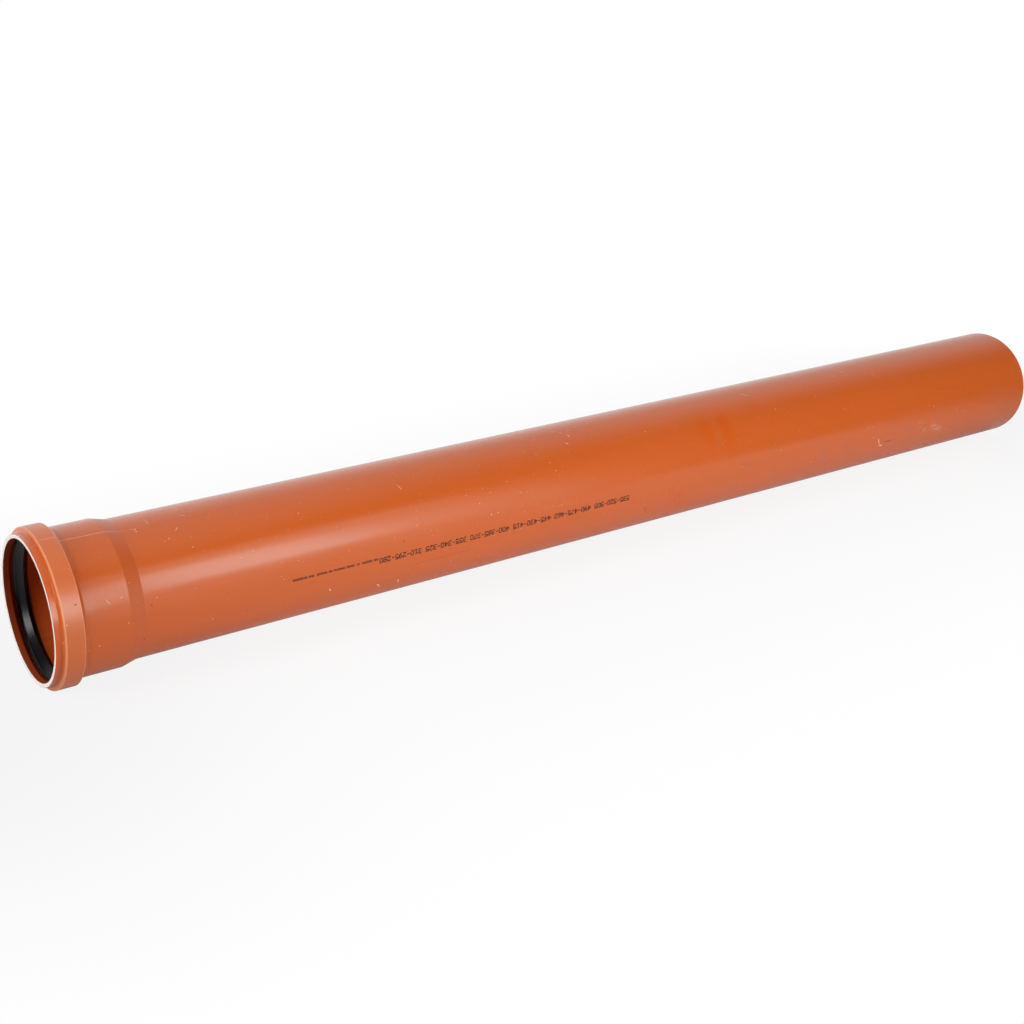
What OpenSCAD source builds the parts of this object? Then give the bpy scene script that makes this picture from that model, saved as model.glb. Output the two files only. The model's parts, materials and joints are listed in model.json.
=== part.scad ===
// Underground sewer pipe of hard PVC, one length, lying on a level floor.
// One end of the extruded pipe is widened into a socket, with a hollow bead round
// its mouth. A rubber seal ring sits in the bead's groove, and the plain, chamfered
// spigot end of the next pipe pushes through it into the socket.
// X runs along the pipe from the socket to the spigot, Z is up, and the origin is
// at the middle of the length, on the floor under the bead.

/* [Pipe] */
// Outside diameter of the pipe
pipe_od = 110; // [75:1:200]
// Wall of the pipe
pipe_wall = 3.2; // [2.4:0.1:6]
// Length over all, from the socket's mouth to the spigot end
pipe_length = 1110; // [400:5:3000]
// Chamfer on the outer edge of the spigot end
spigot_chamfer = 1.2; // [0.4:0.1:2]

/* [Socket] */
// Room between a pushed-in pipe and the socket, on the radius
socket_clearance = 0.25; // [0.1:0.05:0.45]
// Wall of the socket, a little thinner than the pipe that it was widened from
socket_wall = 2.9; // [2.2:0.1:6]
// Depth of the parallel socket, from its mouth to the start of its taper
socket_depth = 58.6; // [45:0.2:120]
// Length of the taper from the socket down to the pipe
taper_length = 12.1; // [8:0.1:30]
// Round on the bends at the two ends of the taper
taper_round = 1.5; // [0.5:0.1:3]

/* [Bead] */
// Wall of the lip in front of the bead
lip_wall = 3.2; // [2.4:0.1:6]
// Wall of the bead over its groove, and behind it
bead_wall = 3.2; // [2.4:0.1:6]
// How far the bead's front edge stands ahead of the groove's floor
bead_lead = 2.4; // [1:0.1:3]
// How far the bead's front face leans back, from the lip up to its edge
bead_lean = 0.8; // [0:0.1:2]
// How far the bead's back edge stands behind the groove's floor
bead_lag = 2.5; // [1:0.1:4]
// Round of the hollow corner between the lip and the bead
lip_fillet = 1.2; // [0.5:0.1:2]
// Length of the slope from the bead down to the socket
shoulder_length = 2.7; // [1:0.1:12]
// Round at the foot of that slope
shoulder_fillet = 1.8; // [0.5:0.1:4]
// Round on the bead's front edge
bead_front_round = 1; // [0.3:0.1:1.5]
// Round on the bead's back edge
bead_back_round = 0.5; // [0.2:0.1:1]
// Round on the edges of the mouth
mouth_round = 0.3; // [0.1:0.1:0.8]

/* [Groove] */
// Plain throat between the mouth and the groove
throat_length = 5.2; // [3:0.1:10]
// Length of the slope from the throat out to the groove's floor
groove_lead = 3.2; // [2:0.1:8]
// Length of the groove's floor
groove_floor = 10.3; // [8:0.1:16]
// Length of the slope from the floor back to the socket
groove_tail = 1.3; // [0.5:0.1:4]
// Depth of the groove, below the socket's wall
groove_depth = 4.35; // [3:0.05:8]
// Round in the groove's corners and on its edges
groove_round = 0.5; // [0.2:0.1:1]

/* [Seal ring] */
// Gap between the ring's rubber and the groove
seal_play = 0.05; // [0:0.01:0.2]
// Gap between the pressed-back lip and the line of the socket's wall
seal_set_back = 0.2; // [0.1:0.05:1]
// Room in the groove in front of the ring
seal_room = 2.1; // [0.5:0.1:4]
// Thickness of the ring's front edge, where its lip starts
seal_toe = 1.3; // [0.5:0.1:2.5]
// Length of the lip's slope, from the front edge to its pressed-back face
seal_lip = 5; // [2:0.1:6]

/* [Hidden] */

// Points along each rounded corner, and facets for viewing the round solids
corner_steps = 5;
$fn = 128;

// Radii, from the axis
pipe_r = pipe_od / 2;
bore_r = pipe_r - pipe_wall;
socket_r = pipe_r + socket_clearance;
socket_outer_r = socket_r + socket_wall;
lip_outer_r = socket_r + lip_wall;
groove_r = socket_r + groove_depth;
bead_r = groove_r + bead_wall;

// Places along the axis, from the mouth
groove_start = throat_length;
floor_start = groove_start + groove_lead;
floor_end = floor_start + groove_floor;
groove_end = floor_end + groove_tail;
bead_start = floor_start - bead_lead;
lip_end = bead_start - bead_lean;
bead_end = floor_end + bead_lag;
shoulder_end = bead_end + shoulder_length;

// The wall bends at the taper's ends, so its outer corners lag or lead its inner ones
taper_angle = atan((socket_outer_r - pipe_r) / taper_length);
taper_start = socket_depth + socket_wall * tan(taper_angle / 2);
taper_end = taper_start + taper_length;
bore_start = taper_end + pipe_wall * tan(taper_angle / 2);

function unit(v) = v / norm(v);
function turned(v, angle) = [v.x * cos(angle) - v.y * sin(angle), v.x * sin(angle) + v.y * cos(angle)];

// The corner at b, between a and c, as points along a round of the given radius
function corner(a, b, c, radius) =
    let (
        to_a = unit(a - b),
        to_c = unit(c - b),
        half = acos(to_a * to_c) / 2,
        centre = b + unit(to_a + to_c) * radius / sin(half),
        first = b + to_a * radius / tan(half) - centre,
        last = b + to_c * radius / tan(half) - centre,
        step = sign(cross(first, last)) * (180 - 2 * half) / corner_steps
    )
    [for (i = [0:corner_steps]) centre + turned(first, i * step)];

// An outline from [radius from the axis, place along it, round] rows, in order
function outline(rows) =
    let (count = len(rows), spot = [for (row = rows) [row[0], row[1]]])
    [
        for (i = [0:count - 1])
            each rows[i][2] > 0
                ? corner(spot[(i + count - 1) % count], spot[i], spot[(i + 1) % count], rows[i][2])
                : [spot[i]]
    ];

// A round solid on the pipe's axis, from the rows of its outline
module turned_part(rows) {
    translate([-pipe_length / 2, 0, bead_r])
        rotate([0, 90, 0])
            rotate_extrude()
                polygon(outline(rows));
}

// Outside from the mouth to the spigot, then the bore back to the mouth
module pipe() {
    color("#cf6230")
        turned_part([
            [lip_outer_r, 0, mouth_round],
            [lip_outer_r, lip_end, lip_fillet],
            [bead_r, bead_start, bead_front_round],
            [bead_r, bead_end, bead_back_round],
            [socket_outer_r, shoulder_end, shoulder_fillet],
            [socket_outer_r, taper_start, taper_round],
            [pipe_r, taper_end, taper_round],
            [pipe_r, pipe_length - spigot_chamfer, 0],
            [pipe_r - spigot_chamfer, pipe_length, 0],
            [bore_r, pipe_length, 0],
            [bore_r, bore_start, taper_round],
            [socket_r, socket_depth, taper_round],
            [socket_r, groove_end, groove_round],
            [groove_r, floor_end, groove_round],
            [groove_r, floor_start, groove_round],
            [socket_r, groove_start, groove_round],
            [socket_r, 0, mouth_round]
        ]);
}

// The ring fills the groove, with its lip pressed back as round a pushed-in pipe
module seal_ring() {
    ring_r = groove_r - seal_play;
    face_r = socket_r + seal_set_back;
    front = floor_start + seal_room;
    back = floor_end - groove_round;
    color("#1d1b1c")
        turned_part([
            [ring_r, front, 0],
            [ring_r, back, 0],
            [face_r, back, groove_round],
            [face_r, front + seal_lip, groove_round],
            [ring_r - seal_toe, front, 0]
        ]);
}

pipe();
seal_ring();
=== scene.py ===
# %% [markdown]
# # A PVC sewer pipe with a socket for a rubber seal
#
# This lesson dresses one length of underground drain pipe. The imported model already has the
# right sizes, so every number that it knows is read from it: the radii of the spigot, the
# socket, the bore and the bead, and where the two ends are. What is added here is what the
# eye needs: round corners, a satin skin with handling marks, a cut face at the mouth, the
# relaxed lip of the rubber seal, and a row of printed ink.

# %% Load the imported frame
import json
import math

import bpy
import numpy as np
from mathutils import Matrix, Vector


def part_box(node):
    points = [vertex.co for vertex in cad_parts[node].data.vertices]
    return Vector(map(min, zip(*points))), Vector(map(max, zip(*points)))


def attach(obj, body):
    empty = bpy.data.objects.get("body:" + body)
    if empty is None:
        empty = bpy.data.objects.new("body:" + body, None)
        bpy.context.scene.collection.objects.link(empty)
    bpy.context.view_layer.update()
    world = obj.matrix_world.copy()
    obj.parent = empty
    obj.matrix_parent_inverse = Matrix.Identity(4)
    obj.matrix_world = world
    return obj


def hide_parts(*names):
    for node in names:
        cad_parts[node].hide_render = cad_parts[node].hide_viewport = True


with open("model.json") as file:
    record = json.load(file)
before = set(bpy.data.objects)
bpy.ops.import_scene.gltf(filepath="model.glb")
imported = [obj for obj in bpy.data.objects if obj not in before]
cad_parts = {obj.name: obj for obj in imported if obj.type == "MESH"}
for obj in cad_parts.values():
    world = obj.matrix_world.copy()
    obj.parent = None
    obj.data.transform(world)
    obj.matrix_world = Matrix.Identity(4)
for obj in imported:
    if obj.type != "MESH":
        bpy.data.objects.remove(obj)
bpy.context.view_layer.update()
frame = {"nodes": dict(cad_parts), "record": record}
print("nodes:", sorted(frame["nodes"]))

# %% Sizes that the frame knows
MM = 0.001
mounts = {mount["name"]: mount for mount in frame["record"]["mounts"]}
pipe_low, pipe_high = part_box("pipe")

mouth_x = pipe_low.x
length = pipe_high.x - pipe_low.x
axis_z = mounts["spigot"]["pos_m"][2]
pipe_r = mounts["spigot"]["dims"]["r_mm"] * MM
socket_r = mounts["socket"]["dims"]["r_mm"] * MM
bore_r = mounts["bore"]["dims"]["r_mm"] * MM
bead_r = min(pipe_high.z - axis_z, pipe_high.y)
print(f"length {length / MM:.1f} mm, radii of the pipe {pipe_r / MM:.2f}, "
      f"socket {socket_r / MM:.2f}, bore {bore_r / MM:.2f} and bead {bead_r / MM:.2f} mm")

# %% [markdown]
# ## The section, from corners to rounds
#
# The pipe is extruded, and its end is then heated and pushed over a mandrel that carries the
# seal. So everything is round about one axis, and one section describes it all. It could be
# made with a Spin or a Screw modifier on a drawn profile, but here it is worked out: the
# section is a closed run of corners, and each corner is replaced by a short arc. A ring of
# points is held close on both sides of each arc, so that the smooth shading stays flat on
# the straight runs and turns only on the rounds.


# %% Round the corners of a section
def unit(vector):
    """The vector divided by its length."""
    return vector / np.linalg.norm(vector)


def half_angle(first, second):
    """Half the angle between two unit vectors, from their dot product."""
    return math.acos(np.clip(first @ second, -1, 1)) / 2


def rounded_outline(corners, steps=6, hold=0.25 * MM, stretch=12 * MM):
    """A closed outline with every corner turned into an arc.

    corners: rows of (place along, radius from the axis, round, zone of the run that follows).
    An arc of radius q in a corner of half angle h starts q / tan(h) from the corner, and its
    centre lies q / sin(h) along the line that halves the corner. hold is how far the held
    points stand from the arcs, and stretch is the longest step on a straight run. Returns the
    points, and the zone of the strip that follows each point.
    """
    spots = [np.array(row[:2], float) for row in corners]
    points, zones = [], []
    for i, (_, _, round_q, zone) in enumerate(corners):
        here, after = spots[i], spots[(i + 1) % len(spots)]
        to_last, to_next = unit(spots[i - 1] - here), unit(after - here)
        half = half_angle(to_last, to_next)
        centre = here + unit(to_last + to_next) * round_q / math.sin(half)
        first = here + to_last * round_q / math.tan(half) - centre
        turn = (math.pi - 2 * half) * np.sign(np.cross(to_last, to_next))
        angles = np.linspace(0, -turn, steps + 1)
        spin = np.stack([np.cos(angles), -np.sin(angles), np.sin(angles), np.cos(angles)], 1)
        arc = centre + spin.reshape(-1, 2, 2) @ first

        # The straight run to the next corner's arc, held at both ends
        next_half = half_angle(-to_next, unit(spots[(i + 2) % len(spots)] - after))
        next_q = corners[(i + 1) % len(corners)][2]
        begin, end = arc[-1], after - to_next * next_q / math.tan(next_half)
        run = np.linalg.norm(end - begin)
        keep = min(hold, run / 4)
        inner = np.linspace(keep, run - keep, max(2, math.ceil(run / stretch)))
        straight = begin + inner[:, None] * to_next

        points.append(np.concatenate([arc, straight]))
        zones += [zone] * (len(arc) + len(straight))
    return np.concatenate(points), zones


# %% Carry a section round the axis
def turned_surface(name, points, around=216):
    """A closed surface of revolution about the pipe's axis, with its unrolled coordinates.

    A section point at place x and radius r, turned by angle a, lies at
    (x, -r sin a, axis + r cos a), so a = 0 is the top and a = 90 degrees faces the viewer's
    side. The seam is at the back, at a = -90 degrees. The UV map is the pipe's skin unrolled,
    in metres: the distance from the mouth, and the arc from the top at the pipe's radius.
    """
    count = len(points)
    angle = np.linspace(-math.pi / 2, 3 * math.pi / 2, around, endpoint=False)
    x, r = points[:, 0, None], points[:, 1, None]
    grid = np.stack([x + 0 * angle, -r * np.sin(angle), axis_z + r * np.cos(angle)], -1)

    row, col = np.meshgrid(np.arange(count), np.arange(around), indexing="ij")
    row_next, col_next = (row + 1) % count, (col + 1) % around
    ring = [(row, col), (row, col_next), (row_next, col_next), (row_next, col)]
    quads = np.stack([a * around + b for a, b in ring], -1).reshape(-1, 4)

    step = 2 * math.pi / around
    along = np.stack([x[row, 0], x[row, 0], x[row_next, 0], x[row_next, 0]], -1) - mouth_x
    turn = angle[col]
    arc = np.stack([turn, turn + step, turn + step, turn], -1) * pipe_r
    unrolled = np.stack([along, arc], -1).reshape(-1, 2)

    # The divergence theorem gives the volume; a negative one means that the faces point in
    flat = grid.reshape(-1, 3)
    a, b, c, d = (flat[quads[:, i]] for i in range(4))
    volume = (np.cross(b - a, c - a) * a + np.cross(c - a, d - a) * a).sum() / 6
    if volume < 0:
        quads = quads[:, ::-1]
        unrolled = unrolled.reshape(-1, 4, 2)[:, ::-1].reshape(-1, 2)

    mesh = bpy.data.meshes.new(name)
    mesh.from_pydata(flat, [], quads)
    mesh.polygons.foreach_set("use_smooth", np.ones(len(quads), bool))
    mesh.uv_layers.new(name="unrolled").data.foreach_set("uv", unrolled.ravel())
    mesh.validate()
    piece = bpy.data.objects.new(name, mesh)
    bpy.context.scene.collection.objects.link(piece)
    print(f"{name}: {len(quads)} faces, {abs(volume) / MM**3 / 1000:.1f} cm3")
    return piece


# %% [markdown]
# ## The pipe
#
# The section runs along the outside from the mouth to the spigot, and back along the bore.
# In front is a short lip with a cut face. A hollow corner leads up to the bead, which
# stands proud because the groove for the seal is pressed out from inside. Behind it come
# the parallel socket, a short taper with two crisp bends, and the long plain pipe, which
# ends in a small chamfer. Three zones have their own finish: the skin, the bore, and the
# cut faces.

# %% The pipe's section
lip_wall, socket_wall, bead_wall = 3.2 * MM, 2.9 * MM, 3.2 * MM
lip_outer_r = socket_r + lip_wall
socket_outer_r = socket_r + socket_wall
groove_r = bead_r - bead_wall
bore_length = mounts["bore"]["dims"]["length_mm"] * MM

throat_end, floor_start, floor_end, groove_end = 5.2 * MM, 8.4 * MM, 18.7 * MM, 20.0 * MM
lip_end, bead_start, bead_end, shoulder_end = 5.2 * MM, 6.0 * MM, 21.2 * MM, 23.9 * MM
socket_depth, taper_start, taper_end = 58.6 * MM, 58.97 * MM, 71.07 * MM
bore_start = length - bore_length
chamfer = 1.2 * MM

# Each corner: place from the mouth, radius, round, and the zone of the run that follows
pipe_corners = [
    (0, lip_outer_r, 0.3 * MM, "skin"),
    (lip_end, lip_outer_r, 1.2 * MM, "skin"),
    (bead_start, bead_r, 1.0 * MM, "skin"),
    (bead_end, bead_r, 0.5 * MM, "skin"),
    (shoulder_end, socket_outer_r, 1.8 * MM, "skin"),
    (taper_start, socket_outer_r, 1.5 * MM, "skin"),
    (taper_end, pipe_r, 1.5 * MM, "skin"),
    (length - chamfer, pipe_r, 0.25 * MM, "cut"),
    (length, pipe_r - chamfer, 0.2 * MM, "cut"),
    (length, bore_r, 0.2 * MM, "bore"),
    (bore_start, bore_r, 1.5 * MM, "bore"),
    (socket_depth, socket_r, 1.5 * MM, "bore"),
    (groove_end, socket_r, 0.5 * MM, "bore"),
    (floor_end, groove_r, 0.5 * MM, "bore"),
    (floor_start, groove_r, 0.5 * MM, "bore"),
    (throat_end, socket_r, 0.5 * MM, "bore"),
    (0, socket_r, 0.3 * MM, "cut"),
]

outline, zones = rounded_outline(pipe_corners)
outline[:, 0] += mouth_x
pipe = turned_surface("pipe_wall", outline)
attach(pipe, "root")
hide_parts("pipe")

# %% [markdown]
# ## The seal ring
#
# The ring is moulded rubber. Its body fills the groove, and its lip is a plain cone that
# leans back from the mouth towards the pipe, so that a spigot slides over it and then
# presses it into the groove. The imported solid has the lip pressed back, as round a spigot.
# Here the socket is empty, so the lip is drawn relaxed, about two millimetres inside the
# socket's wall.

# %% The seal ring's section
ring_play, lip_reach = 0.05 * MM, 2.2 * MM
ring_front, ring_back = 9.2 * MM, 18.2 * MM
ring_r = groove_r - ring_play
lip_tip_r = socket_r - lip_reach
seal_corners = [
    (ring_front, ring_r, 0.2 * MM, "rubber"),
    (ring_back, ring_r, 0.2 * MM, "rubber"),
    (18.9 * MM, socket_r - 0.2 * MM, 0.5 * MM, "rubber"),
    (17.2 * MM, socket_r + 0.2 * MM, 0.8 * MM, "rubber"),
    (16.7 * MM, lip_tip_r + 0.6 * MM, 0.4 * MM, "rubber"),
    (15.7 * MM, lip_tip_r, 0.6 * MM, "rubber"),
    (10.3 * MM, ring_r - 1.55 * MM, 0.6 * MM, "rubber"),
    (ring_front, ring_r - 1.2 * MM, 0.4 * MM, "rubber"),
]
seal_outline, _ = rounded_outline(seal_corners, steps=5, stretch=2 * MM)
seal_outline[:, 0] += mouth_x
seal = turned_surface("seal_lip", seal_outline)
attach(seal, "root")
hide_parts("seal_ring")

# %% [markdown]
# ## The printed row
#
# A drain pipe carries one line of ink-jet print, made of small round dots while the pipe
# runs past the printer. Here the line is a plain rule: each number is the distance from the
# mouth in millimetres, in groups of three, and a comb of fine ticks leads up to it. The dots
# could be painted by the material, but they are a millimetre wide on a pipe of a metre, so
# they are real dots of ink: flat double cones whose lower half is sunk in the wall.

# %% Digits as rows of dots
DIGITS = {
    "0": "01110 10001 10001 10001 10001 10001 01110",
    "1": "00100 01100 00100 00100 00100 00100 01110",
    "2": "01110 10001 00001 00010 00100 01000 11111",
    "3": "11110 00001 00001 01110 00001 00001 11110",
    "4": "00010 00110 01010 10010 11111 00010 00010",
    "5": "11111 10000 11110 00001 00001 10001 01110",
    "6": "00110 01000 10000 11110 10001 10001 01110",
    "7": "11111 00001 00010 00100 00100 01000 01000",
    "8": "01110 10001 10001 01110 10001 10001 01110",
    "9": "01110 10001 10001 01111 00001 00010 01100",
    "-": "00000 00000 00000 01110 00000 00000 00000",
    " ": "00000 00000 00000 00000 00000 00000 00000",
}
PLACE = 6


def digit_dots(text):
    """Where the dots of a line are: columns from its left, and rows up from its foot.

    Each digit is five columns wide, and the next one starts PLACE columns after it.
    """
    dots = []
    for place, digit in enumerate(text):
        cells = np.array([list(row) for row in DIGITS[digit].split()]) == "1"
        row, col = np.nonzero(cells)
        dots.append(np.stack([col + PLACE * place, len(cells) - 1 - row], 1))
    return np.concatenate(dots).astype(float)


# %% Lay the print out on the unrolled skin
column_step, row_step = 0.625 * MM, 0.68 * MM
rule_from, rule_to, rule_step, group = 280, 535, 15, 3
print_foot = math.radians(91.4) * pipe_r

# The line reads from the far side of the pipe, so it starts at the far number, and its
# columns run towards the mouth. A number and a dash take four places, which is 15 mm, and
# the middle column of a number's three digits lies at its distance.
marks = list(range(rule_to, rule_from - 1, -rule_step))
groups = [marks[i:i + group] for i in range(0, len(marks), group)]
rule_text = " ".join("-".join(map(str, three)) for three in groups)
print("rule:", rule_text)
last_column = 2 * PLACE + 4
rule_start = rule_to * MM + last_column / 2 * column_step
numbers = digit_dots(rule_text) * (-column_step, row_step) + (rule_start, 0)

# %% Lay the ticks out, in millimetres
tick_from, tick_to, tick_step, half_gap = 195, 274, 1.2, 1
tick_gaps = np.array([208, 215, 226, 231, 243, 252, 257, 268])
tick_dots, tick_dot_step, tick_drop = 4, 0.45, 0.6

strokes = [s for s in np.arange(tick_from, tick_to, tick_step)
           if abs(tick_gaps - s).min() > half_gap]
rungs = [dot * tick_dot_step - tick_drop for dot in range(tick_dots)]
ticks = np.array([(stroke, rung) for stroke in strokes for rung in rungs]) * MM
print(f"{len(numbers)} dots in the numbers, {len(ticks)} in the ticks")


# %% Small flat things on the skin, as one mesh
skin_rows = [row[:2] for row in pipe_corners if row[3] == "skin"]
skin_rows.append((length - chamfer, pipe_r))
skin_along, skin_r = np.array(skin_rows).T
rim_lift, top_lift, root_depth = 0.01 * MM, 0.05 * MM, 0.3 * MM


def skin_dots(name, middles, halves, turns=0.0, sides=8):
    """Flat double cones lying on the skin, all in one mesh.

    middles: rows of (distance from the mouth, arc from the top), in metres. halves: rows of
    (half length, half width). turns: the angle from the pipe's line to each one's length.
    Each has a rim of points on the skin, one point just above its middle and one just inside
    the wall, and its rim joins both.
    """
    turns = np.broadcast_to(turns, len(middles))[:, None]
    rim = np.linspace(0, 2 * math.pi, sides, endpoint=False)
    length_part, width_part = halves[:, :1] * np.cos(rim), halves[:, 1:] * np.sin(rim)
    along = length_part * np.cos(turns) - width_part * np.sin(turns)
    arc = length_part * np.sin(turns) + width_part * np.cos(turns)
    centre = np.zeros((len(middles), 2))
    along = middles[:, :1] + np.concatenate([along, centre], 1)
    arc = middles[:, 1:] + np.concatenate([arc, centre], 1)
    height = np.array([rim_lift] * sides + [top_lift, -root_depth])

    angle = arc / pipe_r
    r = np.interp(along, skin_along, skin_r) + height
    points = np.stack([mouth_x + along, -r * np.sin(angle), axis_z + r * np.cos(angle)], -1)

    i = np.arange(sides)
    cap = np.stack([i, (i + 1) % sides, np.full(sides, sides)], 1)
    root = np.stack([(i + 1) % sides, i, np.full(sides, sides + 1)], 1)
    one = np.concatenate([cap, root])
    faces = (one[None] + (sides + 2) * np.arange(len(middles))[:, None, None]).reshape(-1, 3)

    mesh = bpy.data.meshes.new(name)
    mesh.from_pydata(points.reshape(-1, 3), [], faces)
    piece = bpy.data.objects.new(name, mesh)
    bpy.context.scene.collection.objects.link(piece)
    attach(piece, "root")
    print(f"{name}: {len(middles)} dots, {len(faces)} triangles")
    return piece


ink_shake = 0.035 * MM


def ink_row(name, places, radius):
    """A row of printed dots, each a little out of place and out of size."""
    rng = np.random.default_rng(7)
    middles = places + (0, print_foot) + rng.normal(0, ink_shake, places.shape)
    halves = radius * rng.uniform(0.85, 1.12, (len(places), 1))
    return skin_dots(name, middles, np.repeat(halves, 2, 1))


number_ink = ink_row("rule_numbers", numbers, 0.49 * MM)
tick_ink = ink_row("rule_ticks", ticks, 0.42 * MM)

# %% [markdown]
# ## Chips and scratches
#
# Sawing and handling leave marks that a material alone draws badly: curls of pale swarf,
# short scratches with raised edges, and specks of grit. They are made as the ink is, from
# the same flat cones stretched to length. The larger ones are placed one by one, by their
# distance from the mouth and their angle from the top. The small ones are scattered, half
# of them evenly and half in loose clouds, because swarf falls in heaps.

# %% Scatter the swarf
even_count, heap_count, heap_size, heap_spread = 450, 30, 15, 16 * MM
swarf_from, heaps_from, end_margin = 75 * MM, 100 * MM, 2 * MM
common_width, width_spread, least_width, most_width = 0.15, 0.45, 0.09, 0.36
most_stretch = 2.4

rng = np.random.default_rng(11)
half_round = math.pi * pipe_r
even = rng.uniform((swarf_from, -half_round), (length, half_round), (even_count, 2))
heaps = rng.uniform((heaps_from, -half_round), (length, half_round), (heap_count, 2))
heaped = np.repeat(heaps, heap_size, 0)
heaped = heaped + rng.normal(0, heap_spread, heaped.shape)
swarf_at = np.concatenate([even, heaped])
on_pipe = (swarf_at[:, 0] > swarf_from) & (swarf_at[:, 0] < length - end_margin)
swarf_at = swarf_at[on_pipe]
count = len(swarf_at)
half_width = rng.lognormal(math.log(common_width), width_spread, count)
half_width = np.clip(half_width, least_width, most_width) * MM
swarf_halves = np.stack([half_width * rng.uniform(1, most_stretch, count), half_width], 1)
swarf = skin_dots("swarf", swarf_at, swarf_halves, rng.uniform(0, math.pi, count), 6)

# %% Where the larger marks are: start and end (millimetres, degrees), width
pale_scratches = [
    ((79, 14), (82, 17), 0.4),
    ((82, 17), (83, 15), 0.4),
    ((111, 27), (114, 24), 0.4),
    ((122, 10), (125, 13), 0.35),
    ((94, 5), (95, 14), 0.3),
    ((308, 31), (310, 37), 0.45),
    ((487, 4), (490, 8), 0.5),
    ((492, 10), (494, 13), 0.5),
    ((497, 16), (498, 20), 0.5),
    ((489, 26), (490, 29), 0.7),
    ((716, 11), (722, 19), 0.45),
    ((857, 6), (861, 14), 0.45),
    ((229, 109), (231, 112), 0.9),
    ((277, 120), (280, 124), 1.0),
    ((298, 121), (299, 126), 0.8),
    ((41, 69), (44, 73), 0.6),
    ((876, 100), (880, 107), 0.9),
    ((881, 109), (886, 110), 1.3),
]
pale_specks = [
    (53, 70), (61, 61), (81, 77), (56, 90), (33, 103), (8, 79), (118, 45), (103, 33),
    (377, 65), (463, 52), (577, 34), (586, 98), (739, 42), (798, 38), (892, 27), (896, 32),
]
dark_scratches = [
    ((563, 109), (566, 116), 0.8),
    ((601, 130), (603, 137), 1.0),
    ((886, 106), (900, 106), 0.9),
]
rust_specks = [(17, 67), (76, 82), (70, 111), (298, 81)]
print(f"{len(pale_scratches)} pale scratches, {len(pale_specks)} pale specks, "
      f"{len(dark_scratches)} dark scratches, {len(rust_specks)} specks of rust")


# %% Make the marks
def scratches(name, rows):
    """Long flat chips from rows of (start, end, width)."""
    to_metres = np.array([MM, math.radians(1) * pipe_r])
    start, end = (np.array([row[i] for row in rows]) * to_metres for i in (0, 1))
    width = np.array([row[2] for row in rows]) * MM / 2
    run = end - start
    halves = np.stack([np.linalg.norm(run, axis=1) / 2 + width, width], 1)
    return skin_dots(name, (start + end) / 2, halves, np.arctan2(run[:, 1], run[:, 0]), 10)


def specks(spots, width, run=0.4):
    """Rows for scratches(), one short one at each spot."""
    return [(spot, (spot[0] + run, spot[1]), width) for spot in spots]


chips = scratches("pale_chips", pale_scratches + specks(pale_specks, 0.65))
scores = scratches("dark_scores", dark_scratches)
grit = scratches("rust_specks", specks(rust_specks, 1.1))

# %% [markdown]
# ## Writing materials as sums
#
# A finish is easier to read as a formula than as a list of nodes. So one small class wraps a
# socket, and adding or multiplying wrapped sockets adds the Math nodes that do it. Every
# other kind of node comes from one method.


# %% A small language for node trees
class Wire:
    """A socket of a node tree. Arithmetic on wires and numbers adds Math nodes."""

    def __init__(self, nodes, socket):
        self.nodes, self.socket = nodes, socket

    def math(self, operation, *others):
        """A Math node on this wire and the others."""
        return self.nodes.node("Math", {"operation": operation}, dict(enumerate((self, *others))))

    def __add__(self, other):
        return self.math("ADD", other)

    def __radd__(self, other):
        return self.math("ADD", other)

    def __sub__(self, other):
        return self.math("SUBTRACT", other)

    def __rsub__(self, other):
        return self.nodes.node("Math", {"operation": "SUBTRACT"}, {0: other, 1: self})

    def __mul__(self, other):
        return self.math("MULTIPLY", other)

    def __rmul__(self, other):
        return self.math("MULTIPLY", other)

    def smooth(self, low, high):
        """0 below low, 1 above high, and an S curve between; low may be the larger.

        A Map Range node takes the value, the range it is in, and the range it goes to.
        """
        settings = {"interpolation_type": "SMOOTHSTEP"}
        return self.nodes.node("MapRange", settings, {0: self, 1: low, 2: high, 3: 0.0, 4: 1.0})


class Nodes:
    """A node tree under construction. node() adds any node and gives a wire from it."""

    def __init__(self, tree):
        self.tree = tree
        tree.nodes.clear()

    def node(self, kind, settings=None, inputs=None, output=0):
        """A node of this kind: its settings are set first, then its inputs' values or wires."""
        made = self.tree.nodes.new("ShaderNode" + kind)
        for key, value in (settings or {}).items():
            setattr(made, key, value)
        for key, value in (inputs or {}).items():
            if isinstance(value, Wire):
                self.tree.links.new(value.socket, made.inputs[key])
            else:
                made.inputs[key].default_value = value
        return Wire(self, made.outputs[output]) if made.outputs else None

    def split(self, vector):
        """The three parts of a vector."""
        parts = self.node("SeparateXYZ", None, {0: vector})
        return [Wire(self, socket) for socket in parts.socket.node.outputs]

    def blend(self, amount, first, second):
        """A colour that is first where amount is 0 and second where it is 1.

        A Mix node keeps its sockets for colour at 6 and 7, and gives the mix at output 2.
        """
        return self.node("Mix", {"data_type": "RGBA"}, {0: amount, 6: first, 7: second}, 2)

    def noise(self, place, scale, detail=2.0, **more):
        """Soft noise from 0 to 1, with lumps about 1 / scale metres across."""
        inputs = {"Vector": place, "Scale": scale, "Detail": detail, **more}
        return self.node("TexNoise", None, inputs)

    def stretched(self, place, along, around, third=1.0):
        """Coordinates multiplied by a factor on each axis."""
        inputs = {0: place, 1: (along, around, third)}
        return self.node("VectorMath", {"operation": "MULTIPLY"}, inputs)

    def object_place(self):
        """Where a point is in the part's frame, in metres."""
        return self.node("TexCoord", None, None, "Object")

    def unrolled(self):
        """Where a point is on the unrolled skin, in metres from the mouth and from the top."""
        return self.node("UVMap", {"uv_map": "unrolled"})


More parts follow.
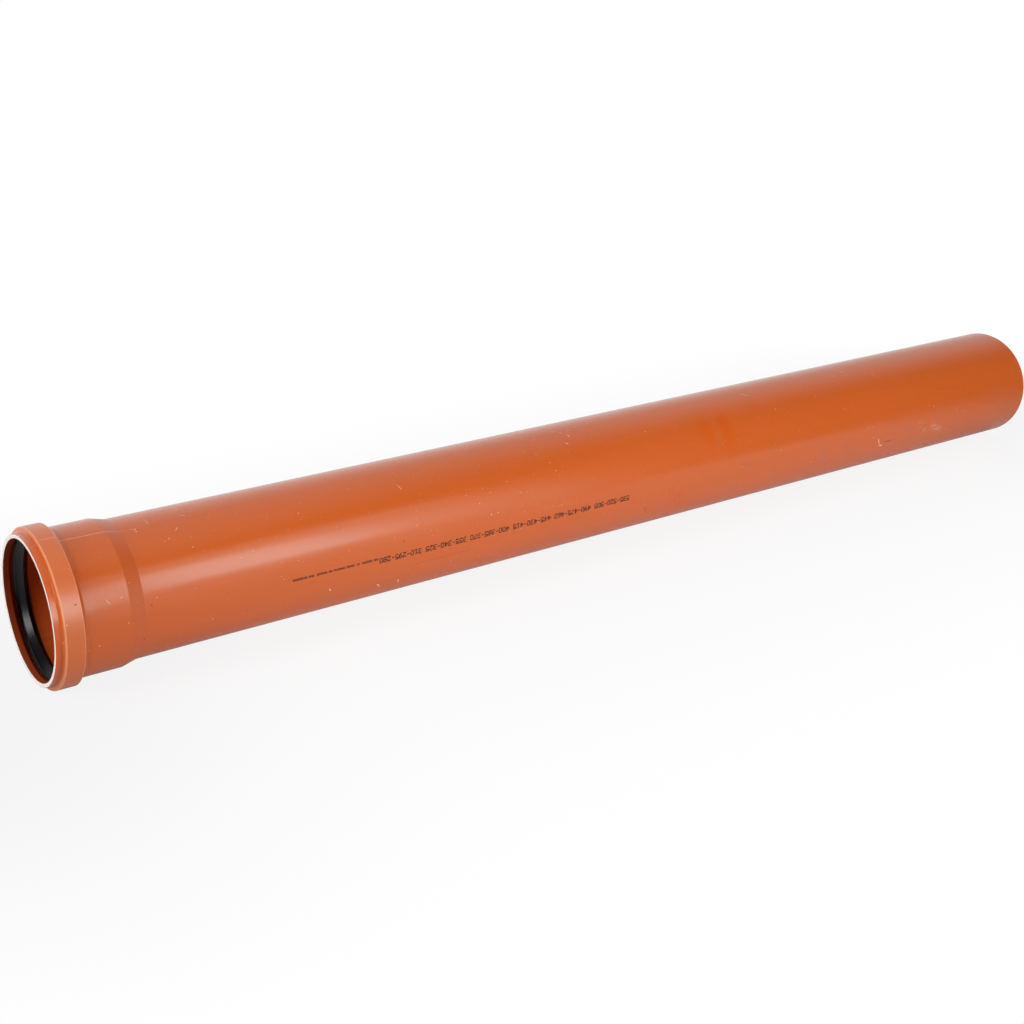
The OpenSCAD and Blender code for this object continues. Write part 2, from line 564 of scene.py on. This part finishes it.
def finish(name, build):
    """A new material, whose surface build(nodes) returns as a shader wire."""
    material = bpy.data.materials.new(name)
    material.use_nodes = True
    nodes = Nodes(material.node_tree)
    nodes.node("OutputMaterial", None, {"Surface": build(nodes)})
    print(f"material {name}: {len(material.node_tree.nodes)} nodes")
    return material


def linear(red, green, blue):
    """A colour of a paint chart, given as sRGB values from 0 to 255, as linear values of light."""
    chart = np.array([red, green, blue]) / 255
    light = np.where(chart <= 0.04045, chart / 12.92, ((chart + 0.055) / 1.055) ** 2.4)
    return (*light.tolist(), 1.0)


# %% [markdown]
# ## The skin of the pipe
#
# The plastic is a satin orange brown. Its gloss is never quite even: the die leaves faint
# lines along the pipe, and hands and gloves leave dull smears. The formed end shows how it
# was made: the bead is paler, because the hot wall was stretched over its groove, and the
# taper is matte where the tool let go of it. The bead's edges are painted pale, partly as
# wear and partly as a painted highlight on their rounds. The taper's darker colour is painted
# shade, and so is the darker corner behind the bead. Fine dust sits all over, and the soft
# smears are placed one by one on the unrolled skin.
#
# All this could be painted into an image. Sums of noise are used instead, because they need
# no image and stay sharp at any distance. The mirrored light is tinted a little towards
# blue and green, because a white sheen on strong orange plastic looks pink.

# %% Masks for marks on the unrolled skin
def streak(nodes, place, start, end, width, soft=0.4):
    """How much a thin oval mark covers a point of the skin, from 0 to 1.

    start and end are (millimetres from the mouth, degrees from the top), and width is in
    millimetres. A Mapping node moves the mark's middle to the origin, turns it along the
    first axis and scales it to a circle of radius 1, and the mark fades out round that.
    """
    a = np.array([start[0] * MM, math.radians(start[1]) * pipe_r])
    b = np.array([end[0] * MM, math.radians(end[1]) * pipe_r])
    across = width * MM / 2
    along = float(np.linalg.norm(b - a)) / 2 + across
    turn = math.atan2(*(b - a)[::-1])
    middle = ((a + b) / 2).tolist()
    inputs = {"Vector": place, "Location": (*middle, 0), "Rotation": (0, 0, turn),
              "Scale": (along, across, 1)}
    local = nodes.node("Mapping", {"vector_type": "TEXTURE"}, inputs)
    distance = nodes.node("VectorMath", {"operation": "LENGTH"}, {0: local}, "Value")
    return distance.smooth(1 + soft, 1 - soft)


def band(along, start, end, soft=0.3):
    """1 between two distances from the mouth, in millimetres, and 0 outside."""
    rise = along.smooth((start - soft) * MM, (start + soft) * MM)
    return rise * along.smooth((end + soft) * MM, (end - soft) * MM)


def flecks(nodes, place, crowd, per_metre, radius, share):
    """Small round flecks: the middles of some of the cells of a loose net.

    The net has per_metre cells to a metre, and radius is in millimetres. Each cell draws two
    lots: the first, with crowd added, says whether it is in the share that holds a fleck, and
    the second makes its fleck smaller.
    """
    net = {"Vector": place, "Scale": per_metre, "Randomness": 1.0}
    flat = {"voronoi_dimensions": "2D"}
    reach = nodes.node("TexVoronoi", flat, net)
    lot, shrink, _ = nodes.split(nodes.node("TexVoronoi", flat, net, "Color"))
    edge = radius * MM * per_metre
    dot = (reach * (0.8 + shrink)).smooth(edge * 1.3, edge * 0.7)
    return dot * (lot + crowd).smooth(1 - share, 1.03 - share)


def together(masks):
    """The strongest of several masks."""
    result = masks[0]
    for mask in masks[1:]:
        result = result.math("MAXIMUM", mask)
    return result


# %% Where the soft marks are: start, end (millimetres, degrees), width
hairline = ((4, 14), (76, 15), 0.4)
faint_score = ((300, 106), (371, 106), 0.7)
grey_smears = [
    ((790, 95), (800, 112), 14),
    ((826, 98), (834, 108), 12),
    ((905, 90), (930, 100), 9),
    ((683, 88), (697, 97), 6),
]
pale_smears = [
    ((962, 101), (972, 107), 8),
    ((940, 96), (948, 104), 6),
]
clean_smears = [
    ((645, 32), (645, 58), 12),
    ((670, 36), (669, 64), 14),
    ((596, 103), (616, 124), 14),
]
print(len(grey_smears + pale_smears + clean_smears), "soft smears")


# %% The skin's colours
SKIN = linear(201, 93, 37)
BEAD = linear(208, 106, 57)
# The taper: matte, and a darker colour that is painted shade
TAPER_MATTE_AND_SHADE = linear(184, 82, 34)
# The corner behind the bead: painted shade
BEAD_SHADE = linear(158, 66, 30)
# The bead's edges: partly wear, partly a painted highlight on their rounds
PALE_EDGE_AND_HIGHLIGHT = linear(232, 156, 112)
PALE_MARK = linear(230, 186, 162)
GREY_SMEAR = linear(160, 96, 74)
DARK_MARK = linear(110, 58, 44)
CLEAN = linear(203, 84, 16)
COOL_SHEEN = (0.72, 1.0, 1.0, 1.0)
print("the skin in linear light:", [round(channel, 3) for channel in SKIN[:3]])

# %% The formed end, in millimetres from the mouth
BEAD_BAND, TAPER_BAND = (5.6, 21.4), (59.0, 71.0)
BEAD_EDGES, EDGE_FADE = [(6.0, 7.2), (20.5, 21.4)], 0.4
# Where the painted shade behind the bead rises and fades, in millimetres
SHOULDER_RISE, SHOULDER_FADE = (21.0, 22.0), (31.0, 22.0)


def formed_end(nodes, colour, along, smears):
    """The colour with the forming's marks, painted shade and highlight, and where bead and taper
    are.
    """
    bead = band(along, *BEAD_BAND)
    front_edge, back_edge = (band(along, *edge, EDGE_FADE) for edge in BEAD_EDGES)
    edges = together([front_edge, back_edge * 0.5])
    taper = band(along, *TAPER_BAND)
    fade, rise = ([mm * MM for mm in ends] for ends in (SHOULDER_FADE, SHOULDER_RISE))
    shade_behind_bead = along.smooth(*fade) * along.smooth(*rise)
    colour = nodes.blend(bead * (0.7 + smears * 0.4), colour, BEAD)
    # The taper's darker colour is painted shade; its matte gloss is in the roughness
    colour = nodes.blend(taper * 0.5, colour, TAPER_MATTE_AND_SHADE)
    # Pale bead edges, partly wear and partly a painted highlight
    colour = nodes.blend(edges * (0.5 + smears * 0.5), colour, PALE_EDGE_AND_HIGHLIGHT)
    # Painted shade in the corner behind the bead
    colour = nodes.blend(shade_behind_bead * 0.4, colour, BEAD_SHADE)
    return colour, bead, taper


print("zones of colour on the skin, in mm: bead", BEAD_BAND, "and taper", TAPER_BAND)


# %% The skin's shader
SHAKE, RELIEF = 1.6 * MM, 0.05 * MM
MEAN_SHADE, CONTRAST = 0.105, 4.0
DARKER, LIGHTER = 0.86, 1.12


def shaken(nodes, place):
    """Coordinates moved a little by noise, so that no mark on them has a ruled edge."""
    noise = {"Vector": place, "Scale": 500.0, "Detail": 2.0}
    shake = nodes.node("TexNoise", None, noise, "Color")
    shift = nodes.node("VectorMath", {"operation": "SUBTRACT"}, {0: shake, 1: (0.5, 0.5, 0.5)})
    inputs = {0: shift, 1: (SHAKE, SHAKE, 0), 2: place}
    return nodes.node("VectorMath", {"operation": "MULTIPLY_ADD"}, inputs)


def skin_shader(nodes):
    """Satin orange plastic: its drift and lines, the formed end, then the marks on top."""
    unrolled = nodes.unrolled()
    along, _, _ = nodes.split(unrolled)

    # Slow drift of colour, faint lines along the pipe, and soft smears
    drift = nodes.noise(nodes.stretched(unrolled, 6, 14), 1.0, 3.0)
    die_lines = nodes.noise(nodes.stretched(unrolled, 1.5, 420), 1.0, 2.0)
    smears = nodes.noise(nodes.stretched(unrolled, 22, 30), 1.0, 4.0, Distortion=1.0)
    grain = nodes.noise(unrolled, 900.0, 3.0)

    shade = drift * 0.07 + die_lines * 0.05 + grain * 0.06 + smears * 0.03
    darker = [channel * DARKER for channel in SKIN[:3]] + [1.0]
    lighter = [channel * LIGHTER for channel in SKIN[:3]] + [1.0]
    colour = nodes.blend((shade - MEAN_SHADE) * CONTRAST + 0.5, darker, lighter)
    colour, bead, taper = formed_end(nodes, colour, along, smears)

    # Soft smears, placed one by one
    place = shaken(nodes, unrolled)
    clean = together([streak(nodes, place, *mark, soft=0.6) for mark in clean_smears])
    grey = together([streak(nodes, place, *mark, soft=0.9) for mark in grey_smears])
    hazy = together([streak(nodes, place, *mark, soft=0.9) for mark in pale_smears])
    rubbed = nodes.noise(nodes.stretched(unrolled, 60, 260), 1.0, 3.0).smooth(0.4, 0.65)
    colour = nodes.blend(clean * 0.6, colour, CLEAN)
    colour = nodes.blend(grey * rubbed * 0.38, colour, GREY_SMEAR)
    colour = nodes.blend(hazy * rubbed * 0.3, colour, PALE_MARK)

    # Fine dust, a hairline and a faint score
    fine = flecks(nodes, place, (drift - 0.5) * 0.5, 150.0, 0.3, 0.25)
    pale = together([fine * 0.6, streak(nodes, place, *hairline)])
    dark = streak(nodes, place, *faint_score)
    colour = nodes.blend(pale * 0.75, colour, PALE_MARK)
    colour = nodes.blend(dark * 0.3, colour, DARK_MARK)

    gloss_lost = bead * 0.1 + taper * 0.12
    roughness = 0.14 + smears * 0.05 + grain * 0.05 + drift * 0.05 + gloss_lost - clean * 0.03
    height = grain * 0.25 + die_lines * 0.35 + pale
    bump = nodes.node("Bump", None, {"Strength": 0.25, "Distance": RELIEF, "Height": height})
    inputs = {"Base Color": colour, "Roughness": roughness, "Normal": bump,
              "IOR": 1.5, "Specular Tint": COOL_SHEEN}
    return nodes.node("BsdfPrincipled", None, inputs)


# %% [markdown]
# ## The bore and the cut faces
#
# The inside keeps only the lines of the die. The groove and the throat are painted darker,
# as painted shade where the seal keeps the light out. At the mouth the wall was sawn and
# scraped, and cut plastic goes pale and chalky. Each zone is a material slot of the one wall,
# and every strip of faces takes the slot of its zone, so that the change falls exactly on
# an edge.

# %% Finishes of the bore and the cut faces
def bore_shader(nodes):
    """Duller plastic with fine lines along it, and painted shade in the groove and the throat."""
    unrolled = nodes.unrolled()
    lines = nodes.noise(nodes.stretched(unrolled, 3, 300), 1.0, 2.0)
    grain = nodes.noise(unrolled, 700.0, 3.0)
    mix = (lines * 0.5 + grain * 0.5 - 0.5) * 1.5 + 0.5
    colour = nodes.blend(mix, linear(200, 86, 34), linear(220, 102, 42))
    along, _, _ = nodes.split(unrolled)
    # Painted shade in the throat and the groove, fading out by the groove's end
    shaded = along.smooth(groove_end, bead_start)
    colour = nodes.blend(shaded * 0.6, colour, linear(110, 38, 20))
    inputs = {"Base Color": colour, "Roughness": 0.34 + grain * 0.08}
    return nodes.node("BsdfPrincipled", None, inputs)


def cut_shader(nodes):
    """Pale chalky plastic, with the rings that the cutter left across the axis."""
    place = nodes.object_place()
    turning = nodes.noise(nodes.stretched(place, 2500, 120, 120), 1.0, 3.0)
    chalk = nodes.noise(place, 900.0, 4.0)
    colour = nodes.blend(turning * 0.6 + chalk * 0.4, linear(244, 224, 216), linear(252, 246, 243))
    inputs = {"Base Color": colour, "Roughness": 0.5 + chalk * 0.2}
    return nodes.node("BsdfPrincipled", None, inputs)


zone_finishes = {
    "skin": finish("pvc_skin", skin_shader),
    "bore": finish("pvc_bore", bore_shader),
    "cut": finish("pvc_cut_face", cut_shader),
}
for material in zone_finishes.values():
    pipe.data.materials.append(material)
zone_number = {zone: i for i, zone in enumerate(zone_finishes)}
strip = np.array([zone_number[zone] for zone in zones])
around = len(pipe.data.polygons) // len(strip)
pipe.data.polygons.foreach_set("material_index", np.repeat(strip, around))
print("strips by zone:", {zone: int((strip == i).sum()) for zone, i in zone_number.items()})

# %% [markdown]
# ## Rubber and ink
#
# The rubber is black with a soft sheen on its lip and dust in its grain. The ink is nearly
# black, and a little of the pipe's colour shows through it. The swarf, the scores and the
# grit are each two colours in a fine mix. All of them read their place in the part's frame,
# because their patterns are too fine for it to matter which way they run.

# %% Rubber and ink finishes
def rubber_shader(nodes):
    """Black rubber with a fine grain, pale where dust lies in it."""
    place = nodes.object_place()
    grain = nodes.noise(place, 1400.0, 4.0)
    patches = nodes.noise(place, 60.0, 3.0)
    dust = grain.smooth(0.66, 0.78)
    colour = nodes.blend(dust * 0.35, linear(21, 19, 20), linear(92, 88, 88))
    bump = nodes.node("Bump", None, {"Strength": 0.4, "Distance": RELIEF, "Height": grain})
    roughness = 0.18 + patches * 0.12
    inputs = {"Base Color": colour, "Roughness": roughness, "Normal": bump}
    return nodes.node("BsdfPrincipled", None, inputs)


def ink_shader(nodes):
    """Matt ink, nearly black, and browner where it is thin."""
    place = nodes.object_place()
    thin = nodes.noise(place, 800.0, 2.0).smooth(0.35, 0.8)
    colour = nodes.blend(thin * 0.12, linear(20, 18, 24), linear(104, 50, 36))
    inputs = {"Base Color": colour, "Roughness": 0.6 + thin * 0.1, "Specular IOR Level": 0.25}
    return nodes.node("BsdfPrincipled", None, inputs)


def mark_shader(light, dark):
    """A finish for small marks: two colours in a fine uneven mix."""
    def build(nodes):
        place = nodes.object_place()
        mottle = nodes.noise(place, 260.0, 3.0).smooth(0.3, 0.7)
        colour = nodes.blend(mottle, light, dark)
        inputs = {"Base Color": colour, "Roughness": 0.55 + mottle * 0.2,
                  "Specular IOR Level": 0.25}
        return nodes.node("BsdfPrincipled", None, inputs)
    return build


pale_mark = finish("pale_swarf", mark_shader(linear(236, 210, 178), linear(220, 164, 124)))
dark_mark = finish("dark_score", mark_shader(linear(128, 66, 48), linear(96, 52, 44)))
rust_mark = finish("rust_grit", mark_shader(linear(168, 48, 24), linear(130, 36, 22)))
ink = finish("print_ink", ink_shader)
worn = {seal: finish("seal_rubber", rubber_shader), number_ink: ink, tick_ink: ink,
        swarf: pale_mark, chips: pale_mark, scores: dark_mark, grit: rust_mark}
for piece, material in worn.items():
    piece.data.materials.append(material)

# %% [markdown]
# ## The floor
#
# The pipe lies on a pale sheet, which fades out beyond the pipe's ends. To the camera the
# floor is nearly white, and keeps only its shadow. To gloss it is the plain sheet nearby and
# a white one behind the pipe. One flat square is enough for all of this, because a Mix Shader
# can show each kind of ray its own floor.
#
# The pipe's bead is wider than the pipe, so on a floor it lies on the bead and on the tip of
# the spigot. The pipe is kept level here, and the floor is leaned by the same small angle.

# %% The floor
bead_middle = (bead_start + bead_end) / 2
lean = (bead_r - pipe_r) / (length - bead_middle)
reach, floor_drop = 6.0, 0.2 * MM


def floor_height(x):
    """A line from the bead's underside up to the spigot's, less a drop that keeps it clear."""
    return (x - mouth_x - bead_middle) * lean - floor_drop


square = [(-reach, -reach), (reach, -reach), (reach, reach), (-reach, reach)]
floor_mesh = bpy.data.meshes.new("floor")
floor_mesh.from_pydata([(x, y, floor_height(x)) for x, y in square], [], [(0, 1, 2, 3)])
floor = bpy.data.objects.new("floor", floor_mesh)
bpy.context.scene.collection.objects.link(floor)
print(f"the floor leans {math.degrees(lean):.2f} degrees")


# %% The floor's finish
BLACK_PAPER, WHITE = (0.04, 0.04, 0.04, 1.0), (1.0, 1.0, 1.0, 1.0)
SHEET, BACK_SHEET = 0.78, 0.7
FLOOR_NEAR, MIRROR_NEAR = 0.86, 0.15


def floor_shader(nodes):
    """Paper to the lamps, and a share of plain white to the camera and to gloss."""
    place = nodes.object_place()
    x, y, _ = nodes.split(place)
    past_end = x.math("ABSOLUTE")
    sheet = x.smooth(-0.85, -0.3) * x.smooth(0.9, 0.4) * SHEET
    back = past_end.smooth(1.1, 0.8) * y.smooth(0.1, 0.4) * BACK_SHEET
    colour = nodes.blend(sheet.math("MAXIMUM", back), BLACK_PAPER, WHITE)
    paper = nodes.node("BsdfDiffuse", None, {"Color": colour})
    white = nodes.node("Emission", None, {"Color": WHITE, "Strength": 1.0})

    # To the camera, whiter away from the pipe; to gloss, whiter behind it
    beyond = (past_end - 0.5).math("MAXIMUM", 0.0)
    away = (beyond * beyond + y * y).math("SQRT").smooth(0.1, 0.45)
    camera_white = FLOOR_NEAR + away * (1 - FLOOR_NEAR)
    gloss_white = MIRROR_NEAR + y.smooth(0.1, 0.4) * (1 - MIRROR_NEAR)
    seen = nodes.node("LightPath", None, None, "Is Camera Ray")
    mirrored = nodes.node("LightPath", None, None, "Is Glossy Ray")
    white_share = seen * camera_white + mirrored * gloss_white
    return nodes.node("MixShader", None, {0: white_share, 1: paper, 2: white})


floor_mesh.materials.append(finish("studio_floor", floor_shader))

# %% [markdown]
# ## The studio
#
# The room is white behind the pipe, dimmer straight above, and dark on the mouth's side, so
# the pipe's inside and the seal stay dark. Gloss shows the room's edges as
# soft bands along the pipe, so the room is a sum of smooth steps in each direction rather
# than one even colour. The camera always sees it white.

# %% The room
dark_side, backdrop, high_backdrop, ceiling = 0.03, 0.77, 0.3, 0.6

world = bpy.data.worlds.new("studio")
bpy.context.scene.world = world
world.use_nodes = True
room_nodes = Nodes(world.node_tree)
direction = room_nodes.node("TexCoord")
side, depth, up = room_nodes.split(direction)
behind = depth.smooth(-0.25, 0.45) * side.smooth(-0.5, -0.1)
overhead = up.smooth(0.78, 0.95) * (1.0 - behind)
high = depth.smooth(0.5, 0.85) * high_backdrop
room = dark_side + behind * backdrop + high + overhead * ceiling
seen = room_nodes.node("LightPath", None, None, "Is Camera Ray")
strength = room + (1.0 - room) * seen
sky = room_nodes.node("Background", None, {"Color": WHITE, "Strength": strength})
room_nodes.node("OutputWorld", None, {"Surface": sky})
print(f"room: {len(world.node_tree.nodes)} nodes")

# %% [markdown]
# ## The lamps
#
# Tall soft lamps at the front make the broad band of light along the near half. On the
# mouth's side one small lamp puts the sheen on the seal's lip. Two more light the cut edge
# and the top, and gloss doesn't mirror them, as if black cards hid them from it.


# %% The lamps
def softbox(name, place, target, width, height, power, mirrored=True):
    """A rectangular lamp at a place, facing a target, with its watts; gloss may mirror it."""
    lamp = bpy.data.lights.new(name, "AREA")
    lamp.shape = "RECTANGLE"
    lamp.size, lamp.size_y = width, height
    lamp.energy = power
    holder = bpy.data.objects.new(name, lamp)
    holder.location = place
    holder.rotation_euler = (Vector(target) - Vector(place)).to_track_quat("-Z", "Y").to_euler()
    holder.visible_glossy = mirrored
    bpy.context.scene.collection.objects.link(holder)
    print(f"{name}: {power} W, {width} by {height} m")


softbox("front_softbox", (0.32, -1.5, 0.8), (0.32, 0, 0.8), 0.46, 0.86, 6.8)
softbox("front_softbox_middle", (0.3, -1.5, 0.6), (0.3, 0, 0.6), 0.3, 0.35, 1.5)
softbox("front_fill", (0.6, -1.5, 0.95), (0.6, 0, 0.95), 1.0, 1.8, 7.2)
softbox("front_left_panel", (-0.3, -1.5, 0.56), (-0.3, 0, 0.56), 0.3, 0.8, 10.8)
softbox("left_softbox", (-2.5, -0.22, 0.6), (-0.555, -0.22, 0.6), 0.55, 0.6, 8.3)
softbox("left_key", (-2.2, -0.1, 1.5), (-0.555, 0, 0.1), 0.8, 0.8, 13.0, mirrored=False)
softbox("mouth_softbox", (-2.4, -0.1, 0.5), (-0.555, 0, 0.1), 0.4, 0.4, 15.0, mirrored=False)

# %% [markdown]
# ## The camera
#
# The camera stands beside the mouth and looks along the pipe from above, so that the mouth
# opens towards it and the far end runs away. The lens is shifted sideways, as a view camera's
# is, which puts the pipe in the middle of the picture without turning the camera towards it.

# %% Set the camera
camera_data = bpy.data.cameras.new("camera")
camera = bpy.data.objects.new("camera", camera_data)
bpy.context.scene.collection.objects.link(camera)
camera.location = (-0.8473, -0.952, 0.5318)
heading, dip = math.radians(31.953), math.radians(20.043)
camera.rotation_euler = (math.pi / 2 - dip, 0, -heading)
camera_data.lens = 50.395
camera_data.sensor_width = 36
camera_data.shift_x = 0.1368
camera_data.shift_y = -0.0488
camera_data.clip_start = 0.01
bpy.context.scene.camera = camera
bpy.context.scene.view_settings.view_transform = "Standard"
spot = [round(v, 4) for v in camera.location]
print(f"camera at {spot}, with a {camera_data.lens:.1f} mm lens")
